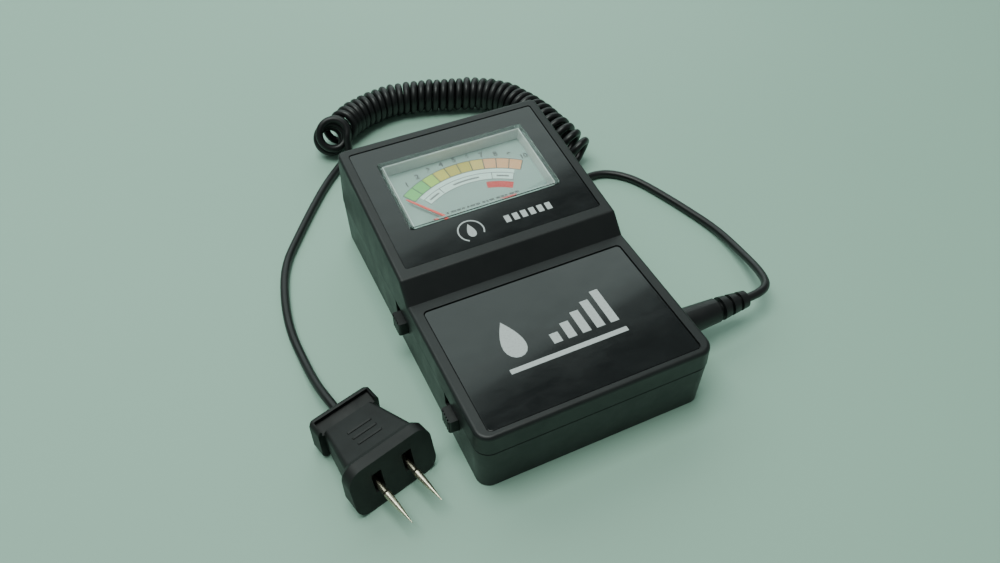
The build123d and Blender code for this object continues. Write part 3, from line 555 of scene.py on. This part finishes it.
# the first turns lean, and straighten until LEAN_END; the last ones lie over from LIE_START
# before the end; each change takes the length EASING
LEAN_END, LIE_START, EASING = 26, 28, 20
AXIS_LIFT = 0.2
LOWEST = 0.52 * CORD_D
METER_ROUTE = [
    (71.0, -39.4, 11.0), (76.8, -39.4, 11.0), (82.6, -36.6, 10.0), (86.2, -28.4, 7.6),
    (88.6, -15.5, 4.2), (89.4, 0.5, 2.0), (85.6, 15.5, 1.6), (81.2, 29.0, 1.6),
    (76.6, 40.8, 1.6), (70.2, 48.0, 1.6), (63.4, 50.6, 1.6), (55.4, 49.4, 1.6),
    (49.0, 50.4, 1.6), (47.8, 56.4, 1.6), (53.4, 59.6, 1.6),
]
COIL_ROUTE = [
    (60.4, 58.0, 7.1), (59.8, 70.0, 7.1), (57.8, 84.0, 7.1), (54.6, 98.0, 7.1),
    (49.6, 109.0, 7.1), (41.4, 116.6, 7.1), (30.2, 120.4, 7.1), (17.6, 125.0, 7.1),
    (5.2, 128.2, 7.1), (-6.6, 126.8, 7.1), (-16.0, 123.0, 7.1), (-23.6, 118.4, 7.0),
    (-30.6, 114.0, 5.2), (-29.4, 111.4, 9.0), (-28.4, 109.0, 13.0),
]
PROBE_ROUTE = [
    (-24.6, 103.8, 4.8), (-30.0, 101.0, 1.8), (-38.0, 93.4, 1.6), (-47.6, 81.4, 1.6),
    (-58.0, 67.0, 1.6), (-66.8, 54.4, 1.6), (-71.6, 39.0, 1.6), (-74.2, 22.0, 1.6),
    (-73.6, 6.0, 2.0), (-73.0, -6.0, 4.6), (-71.7, -14.999, 7.0), (-69.8, -22.7, 7.0),
]
# the last turns lie over and face forwards and up
LYING = Vector((-0.14, -0.76, 0.64)).normalized()
# the first turns lean over and face left, back and up
LEANING = Vector((-0.57, 0.72, 0.4)).normalized()


def spline_curve(name, points):
    """Curve object of one smooth open NURBS spline through the frame, points in metres."""
    curve = bpy.data.curves.new(name, "CURVE")
    curve.dimensions = "3D"
    spline = curve.splines.new("NURBS")
    spline.points.add(len(points) - 1)
    for control, place in zip(spline.points, points):
        control.co = (*place, 1)
    spline.order_u = 3
    spline.use_endpoint_u = True
    spline.resolution_u = 4
    piece = bpy.data.objects.new(name, curve)
    bpy.context.collection.objects.link(piece)
    return piece


def read_line(points):
    """Points along the smooth line that the given control points make."""
    guide = spline_curve("guide", points)
    guide.data.splines[0].resolution_u = 24
    mesh = bpy.data.meshes.new_from_object(guide)
    line = [vertex.co.copy() for vertex in mesh.vertices]
    bpy.data.objects.remove(guide)
    bpy.data.meshes.remove(mesh)
    return line


def in_metres(route):
    return [Vector(point) * MM for point in route]


def helix_pitch(travelled):
    """Distance between turns: open loops at the start, then closely wound."""
    opening = max(0.0, 1 - travelled / (OPEN_STRETCH * MM))
    return (CLOSE_PITCH + 0.8 * opening + 1.3 * opening**6) * MM


def turn_facing(along, travelled, whole):
    """Direction that a turn faces: along the axis, but leaning at both ends of the coil."""
    lie = min(1.0, max(0.0, (LIE_START * MM - whole + travelled) / (EASING * MM)))
    facing = along.lerp(LYING, lie * lie * (3 - 2 * lie)).normalized()
    lean = min(1.0, max(0.0, (LEAN_END * MM - travelled) / (EASING * MM)))
    return facing.lerp(LEANING, lean).normalized()


def helix_points(axis):
    """Left-handed helix about a smooth axis line, with slightly uneven turns."""
    whole = sum((b - a).length for a, b in zip(axis, axis[1:]))
    points = []
    travelled = 0.0
    phase = radians(START_PHASE)
    wanted = phase
    for here, after in zip(axis, axis[1:]):
        run = after - here
        along = run.normalized()
        facing = turn_facing(along, travelled, whole)
        down = (Vector((0, 0, -1)) + facing * facing.z).normalized()
        side = down.cross(facing)
        covered = 0.0
        while True:
            pitch = helix_pitch(travelled + covered) / max(0.6, facing.dot(along))
            needed = (wanted - phase) / (2 * pi) * pitch
            if covered + needed > run.length:
                phase += (run.length - covered) / pitch * 2 * pi
                break
            covered += needed
            phase = wanted
            turn = phase / (2 * pi)
            radius = HELIX_R + 0.12 * sin(turn * 2.3) + 0.1 * sin(turn * 5.1 + 1)
            lift = 0.06 * sin(turn * 3.7)
            centre = here + along * covered
            arm = down * cos(phase) + side * sin(phase)
            place = centre + arm * radius * MM + Vector((0, 0, 1)) * (lift + AXIS_LIFT) * MM
            place.z = max(place.z, LOWEST * MM)
            points.append(place)
            wanted += 2 * pi / TURN_POINTS
        travelled += run.length
    return points, phase


coil_points, last_phase = helix_points(read_line(in_metres(COIL_ROUTE)))
# the coil ends where its last turn comes down on its right
extra = int(((last_phase - radians(END_PHASE)) % (2 * pi)) / (2 * pi) * TURN_POINTS)
coil_points = coil_points[: len(coil_points) - extra]
lead_points = in_metres(METER_ROUTE) + coil_points + in_metres(PROBE_ROUTE)
lead = spline_curve("lead", lead_points)
lead.data.bevel_depth = CORD_D / 2 * MM
lead.data.bevel_resolution = 5
lead.data.use_fill_caps = True
lead.data.materials.append(JACKET)
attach(lead, "meter")
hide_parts("meter_cord", "coil_cord", "probe_cord")


# ---------------------------------------------------------------- stage, light and camera
TABLE_HALF = 2.2
CAMERA_PLACE = Vector((-0.0908, -0.1832, 0.2312))
CAMERA_TARGET = Vector((-0.00294, 0.00217, 0.01333))


def make_floor():
    """Plain pale table top."""
    def build(shape):
        half = TABLE_HALF
        corners = [(-half, -half), (half, -half), (half, half), (-half, half)]
        shape.faces.new([shape.verts.new((x, y, 0)) for x, y in corners])

    material, nodes, links, shader, coords = new_material("table_top", (0.43, 0.61, 0.51), 0.55)
    drift = add_noise(nodes, links, coords, 3, detail=3)
    stops = [(0.3, (0.375, 0.595, 0.48)), (0.7, (0.4, 0.625, 0.505))]
    tone = add_colours(nodes, links, drift.outputs["Fac"], stops)
    links.new(tone.outputs["Color"], shader.inputs["Base Color"])
    floor = mesh_piece("table", build, material)


def area_light(name, place, target, size, power, colour, edge=(1, 0, 0)):
    """Rectangular softbox that faces the target, with its long side along the edge direction."""
    light = bpy.data.lights.new(name, "AREA")
    light.shape = "RECTANGLE"
    light.size, light.size_y = size
    light.energy = power
    light.color = colour
    lamp = bpy.data.objects.new(name, light)
    back = (Vector(place) - Vector(target)).normalized()
    upward = back.cross(Vector(edge)).normalized()
    axes = Matrix((upward.cross(back), upward, back)).transposed()
    lamp.matrix_world = Matrix.Translation(place) @ axes.to_4x4()
    bpy.context.collection.objects.link(lamp)


def make_world():
    """Soft room light, brighter towards the horizon."""
    world = bpy.data.worlds.new("room")
    world.use_nodes = True
    nodes = world.node_tree.nodes
    links = world.node_tree.links
    background = nodes["Background"]
    coords = nodes.new("ShaderNodeTexCoord")
    split = nodes.new("ShaderNodeSeparateXYZ")
    links.new(coords.outputs["Generated"], split.inputs["Vector"])
    stops = [(0.0, (0.4, 0.47, 0.44)), (0.35, (0.3, 0.35, 0.34)), (1.0, (0.16, 0.18, 0.18))]
    ramp = add_colours(nodes, links, split.outputs["Z"], stops)
    links.new(ramp.outputs["Color"], background.inputs["Color"])
    background.inputs["Strength"].default_value = 0.6
    bpy.context.scene.world = world


make_floor()
make_world()
area_light("overhead", (-0.25, 0.1, 1.5), (0, 0.02, 0), (1.0, 0.8), 16.5, (0.9, 1.0, 0.94))
area_light(
    "rear_softbox", (0.02, 0.835, 0.675), (-0.265, 0.307, 0.0), (1.7, 0.8), 6.2,
    (0.82, 1.0, 0.95), edge=(0.93, 0.1, -0.2),
)

camera = bpy.data.cameras.new("camera")
camera.lens = 31.03
camera.sensor_width = 36
camera.clip_start = 0.01
viewer = bpy.data.objects.new("camera", camera)
viewer.location = CAMERA_PLACE
viewer.rotation_euler = (CAMERA_TARGET - CAMERA_PLACE).to_track_quat("-Z", "Y").to_euler()
bpy.context.collection.objects.link(viewer)
bpy.context.scene.camera = viewer
bpy.context.view_layer.update()
